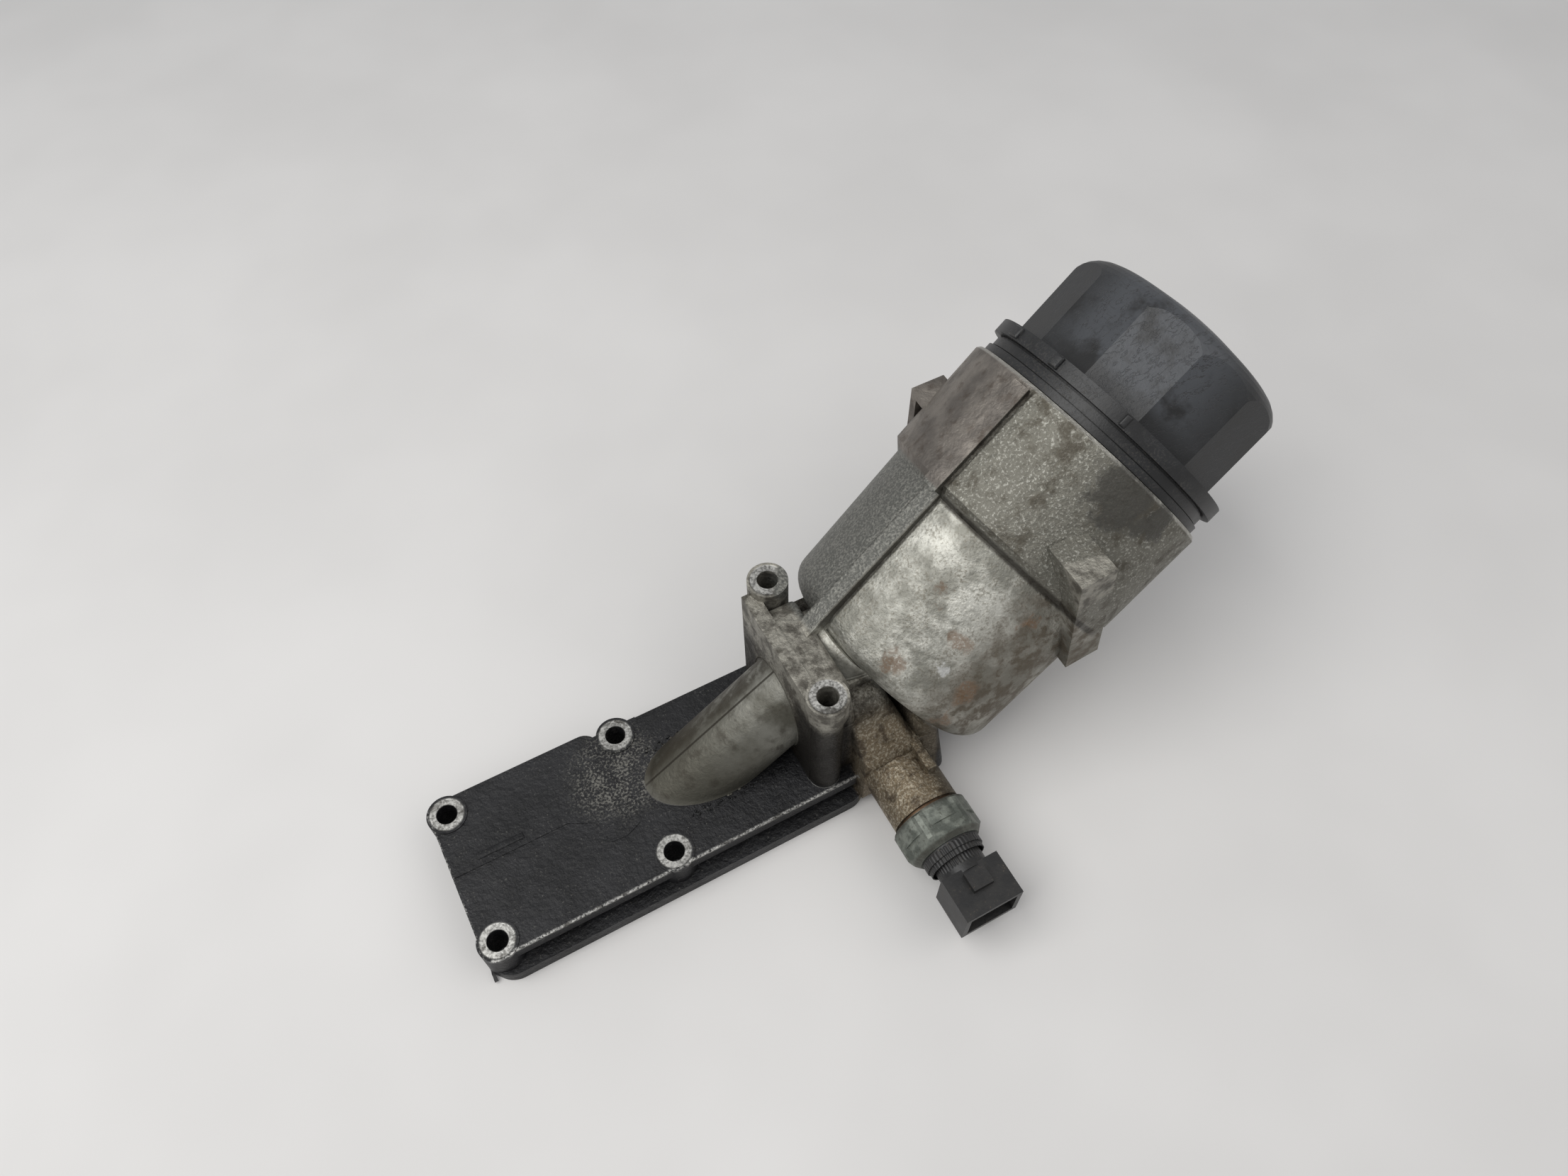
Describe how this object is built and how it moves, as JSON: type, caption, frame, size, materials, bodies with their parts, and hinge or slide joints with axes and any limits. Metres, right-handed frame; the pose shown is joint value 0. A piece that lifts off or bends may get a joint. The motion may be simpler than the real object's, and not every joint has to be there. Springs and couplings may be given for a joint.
{
  "type": "oil filter housing",
  "caption": "Cast aluminium oil filter housing with a long bolted flange, an inclined bowl, a flat-sided screw cap, a cartridge element and a pressure sensor.",
  "frame": {"origin": "centre of the four low bolt holes, on the flange face", "axes": "+Z from the flange face into the part, +X along the flange towards the bowl"},
  "size_m": [0.287, 0.1447, 0.1387],
  "materials": {
    "cast": "rough cast, oily",
    "cap_plastic": "satin",
    "rubber": "matt",
    "plated_steel": "zinc plated, dull",
    "spring_steel": "bright",
    "copper": "dull",
    "paper": "oily paper",
    "inner_plastic": "matt",
    "plug_plastic": "satin",
    "terminal": "bright"
  },
  "bodies": {
    "base": {"housing": "cast", "flange_seal": "rubber", "outlet_tube": "plated_steel", "anti_drain_membrane": "rubber", "sensor_body": "plated_steel", "sensor_washer": "copper", "sensor_connector": "plug_plastic", "sensor_terminals": "terminal"},
    "cartridge": {"filter_paper": "paper", "filter_core": "inner_plastic", "filter_top_cap": "inner_plastic", "filter_bottom_cap": "inner_plastic", "filter_bottom_seal": "rubber"},
    "screw_cap": {"cap": "cap_plastic", "cap_o_ring": "rubber", "cap_stem": "inner_plastic", "stem_o_ring": "rubber", "bypass_seat": "terminal", "bypass_spring": "spring_steel"},
    "bypass_valve": {"bypass_poppet": "spring_steel"}
  },
  "joints": [
    {"name": "cap_lift", "type": "slide", "parent": "base", "child": "cartridge", "axis": [0.8181, 0.115, 0.5635], "range_m": [0, 0.012]},
    {"name": "cap_turn", "type": "hinge", "parent": "cartridge", "child": "screw_cap", "pos_m": [0.1959, 0.011, 0.0849], "axis": [0.8181, 0.115, 0.5635], "range_deg": [0, 1081]},
    {"name": "bypass_lift", "type": "slide", "parent": "screw_cap", "child": "bypass_valve", "axis": [0.8181, 0.115, 0.5635], "range_m": [0, 0.004], "stiffness_N_per_m": 1500, "springref_m": -0.004, "deforming": ["bypass_spring"]}
  ],
  "couplings": [
    {"joint": "cap_turn", "follows": "cap_lift", "rad_per_m": 1570.8}
  ]
}
